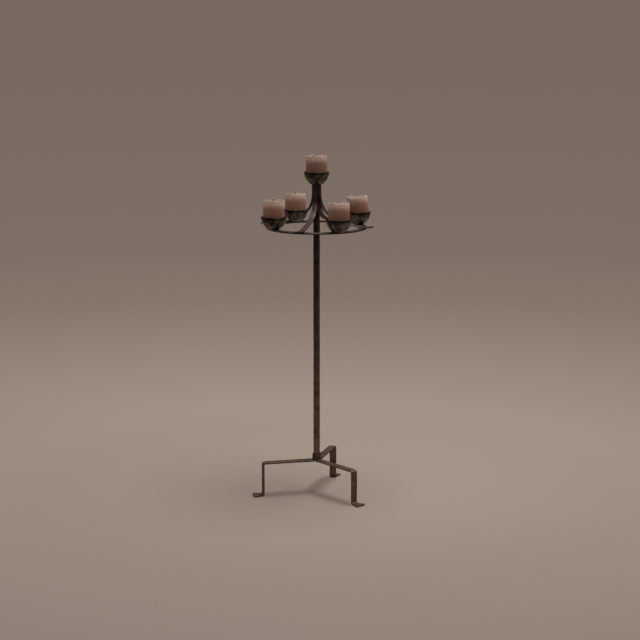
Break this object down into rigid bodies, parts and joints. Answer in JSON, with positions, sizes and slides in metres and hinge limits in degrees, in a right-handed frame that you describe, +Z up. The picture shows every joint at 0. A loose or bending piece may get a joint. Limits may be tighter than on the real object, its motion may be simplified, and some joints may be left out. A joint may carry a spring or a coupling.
{
  "type": "torchere candle stand",
  "caption": "Floor-standing wrought-iron candle stand: square column on a bent-bar tripod, flared arms carrying a flat ring, and hammered bowls that hold pillar candles on prickets.",
  "frame": {"origin": "on the floor, in the middle of the footprint; the column stands a little in front of it, because the rear leg reaches further than the front arm", "axes": "+Z up along the column; +Y from the column towards the rear leg and the rear arm; +X to the right seen from the front"},
  "size_m": [0.336, 0.3472, 0.9723],
  "materials": {
    "forged_iron": "dark brown-black waxed forge finish, burnished on the edges",
    "hammered_iron": "black-brown hammered sheet, satin",
    "spike_iron": "plain dark steel",
    "wax": "satin pinkish-beige candle wax, lighter at the top",
    "wick": "braided cotton, waxed and browned"
  },
  "bodies": {
    "stand": {"column": "forged_iron", "base_collar": "forged_iron", "leg_rear": "forged_iron", "leg_left": "forged_iron", "leg_right": "forged_iron", "ring": "forged_iron", "arm_front": "forged_iron", "arm_right": "forged_iron", "arm_rear": "forged_iron", "arm_left": "forged_iron", "bowl_top": "hammered_iron", "pricket_top": "spike_iron", "bowl_front_right": "hammered_iron", "pricket_front_right": "spike_iron", "bowl_back_right": "hammered_iron", "pricket_back_right": "spike_iron", "bowl_back_left": "hammered_iron", "pricket_back_left": "spike_iron", "bowl_front_left": "hammered_iron", "pricket_front_left": "spike_iron"},
    "candle_top_body": {"candle_top": "wax", "wick_top": "wick"},
    "candle_front_right_body": {"candle_front_right": "wax", "wick_front_right": "wick"},
    "candle_back_right_body": {"candle_back_right": "wax", "wick_back_right": "wick"},
    "candle_back_left_body": {"candle_back_left": "wax", "wick_back_left": "wick"},
    "candle_front_left_body": {"candle_front_left": "wax", "wick_front_left": "wick"}
  },
  "joints": [
    {"name": "candle_top_lift", "type": "slide", "parent": "stand", "child": "candle_top_body", "axis": [0, 0, 1], "range_m": [0, 0.09]},
    {"name": "candle_front_right_lift", "type": "slide", "parent": "stand", "child": "candle_front_right_body", "axis": [0, 0, 1], "range_m": [0, 0.09]},
    {"name": "candle_back_right_lift", "type": "slide", "parent": "stand", "child": "candle_back_right_body", "axis": [0, 0, 1], "range_m": [0, 0.09]},
    {"name": "candle_back_left_lift", "type": "slide", "parent": "stand", "child": "candle_back_left_body", "axis": [0, 0, 1], "range_m": [0, 0.09]},
    {"name": "candle_front_left_lift", "type": "slide", "parent": "stand", "child": "candle_front_left_body", "axis": [0, 0, 1], "range_m": [0, 0.09]}
  ]
}
